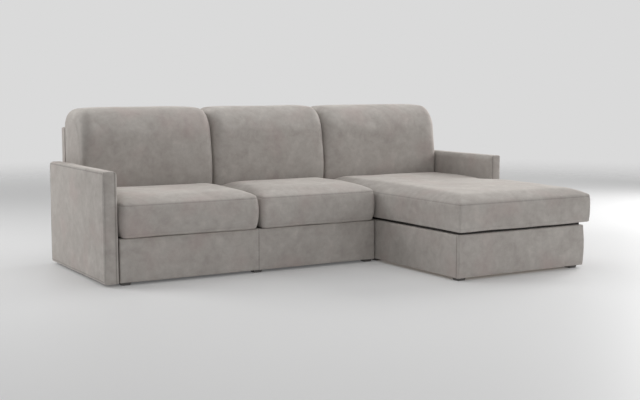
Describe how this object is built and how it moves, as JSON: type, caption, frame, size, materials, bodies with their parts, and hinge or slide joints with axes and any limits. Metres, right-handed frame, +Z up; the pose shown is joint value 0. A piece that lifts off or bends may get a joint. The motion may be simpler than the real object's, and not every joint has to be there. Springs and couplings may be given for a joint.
{
  "type": "sectional sofa with chaise",
  "caption": "Low-arm sectional sofa with loose box cushions; the chaise seat lifts forward on a lever hinge over a storage box.",
  "frame": {"origin": "on the floor, under the middle of the set's bounding box", "axes": "+X along the back from the left arm to the chaise, +Y to the rear, +Z up"},
  "size_m": [2.612, 1.727, 0.911],
  "materials": {
    "upholstery": "matt brushed microfibre",
    "deck_cloth": "matt non-woven",
    "dust_cloth": "matt non-woven",
    "elastic_webbing": "woven",
    "glide_plastic": "moulded",
    "zinc_plated_steel": "zinc plated",
    "plywood": "raw",
    "particle_board": "raw",
    "softwood": "planed"
  },
  "bodies": {
    "frame": {"sofa_front_rail": "softwood", "sofa_rear_rail": "softwood", "sofa_left_side_rail": "softwood", "sofa_right_side_rail": "softwood", "sofa_centre_rail": "softwood", "sofa_corner_blocks": "softwood", "sofa_seat_webbing": "elastic_webbing", "sofa_deck_pad": "deck_cloth", "sofa_front_cover": "upholstery", "sofa_underside_cloth": "dust_cloth", "sofa_glides": "glide_plastic", "left_arm_frame": "softwood", "left_arm_cover": "upholstery", "sofa_back_frame": "softwood", "sofa_back_cover": "upholstery", "chaise_left_board": "particle_board", "chaise_right_board": "particle_board", "chaise_foot_board": "particle_board", "chaise_storage_back_board": "particle_board", "chaise_rear_rail": "particle_board", "chaise_side_panel": "particle_board", "chaise_floor_battens": "softwood", "chaise_storage_floor": "plywood", "chaise_rear_deck": "plywood", "chaise_corner_blocks": "softwood", "chaise_base_cover": "upholstery", "chaise_glides": "glide_plastic", "right_arm_frame": "softwood", "right_arm_cover": "upholstery", "chaise_back_frame": "softwood", "chaise_back_cover": "upholstery", "joining_hooks": "zinc_plated_steel", "joining_catches": "zinc_plated_steel", "base_bracket_left": "zinc_plated_steel", "base_bracket_right": "zinc_plated_steel", "base_pivot_pins": "zinc_plated_steel"},
    "long_levers": {"long_lever_left": "zinc_plated_steel", "long_lever_right": "zinc_plated_steel"},
    "lid": {"chaise_lid_board": "plywood", "chaise_lid_battens": "softwood", "chaise_cushion": "upholstery", "lid_bracket_left": "zinc_plated_steel", "lid_bracket_right": "zinc_plated_steel", "lid_pivot_pins": "zinc_plated_steel"},
    "short_levers": {"short_lever_left": "zinc_plated_steel", "short_lever_right": "zinc_plated_steel"},
    "seat_cushion_left": {"seat_cushion_left": "upholstery"},
    "seat_cushion_right": {"seat_cushion_right": "upholstery"},
    "back_cushion_left": {"back_cushion_left": "upholstery"},
    "back_cushion_middle": {"back_cushion_middle": "upholstery"},
    "back_cushion_right": {"back_cushion_right": "upholstery"}
  },
  "joints": [
    {"name": "lid_lift", "type": "hinge", "parent": "frame", "child": "long_levers", "pos_m": [0, 0.2052, 0.076], "axis": [1, 0, 0], "range_deg": [0, 75]},
    {"name": "lid_tilt", "type": "hinge", "parent": "long_levers", "child": "lid", "pos_m": [0, 0.3907, 0.1907], "axis": [-1, 0, 0], "range_deg": [0, 106.5]},
    {"name": "short_lever_swing", "type": "hinge", "parent": "frame", "child": "short_levers", "pos_m": [0, 0.2319, 0.139], "axis": [1, 0, 0], "range_deg": [0, 82.6]},
    {"name": "seat_cushion_left_lift", "type": "slide", "parent": "frame", "child": "seat_cushion_left", "axis": [0, -0.4226, 0.9063], "range_m": [0, 0.35]},
    {"name": "seat_cushion_right_lift", "type": "slide", "parent": "frame", "child": "seat_cushion_right", "axis": [0, -0.4226, 0.9063], "range_m": [0, 0.35]},
    {"name": "back_cushion_left_lift", "type": "slide", "parent": "frame", "child": "back_cushion_left", "axis": [0, 0, 1], "range_m": [0, 0.42]},
    {"name": "back_cushion_middle_lift", "type": "slide", "parent": "frame", "child": "back_cushion_middle", "axis": [0, 0, 1], "range_m": [0, 0.42]},
    {"name": "back_cushion_right_lift", "type": "slide", "parent": "frame", "child": "back_cushion_right", "axis": [0, 0, 1], "range_m": [0, 0.42]}
  ],
  "couplings": [
    {"joint": "lid_tilt", "follows": "lid_lift", "ratio": 1.419},
    {"joint": "short_lever_swing", "follows": "lid_lift", "ratio": 1.1}
  ]
}
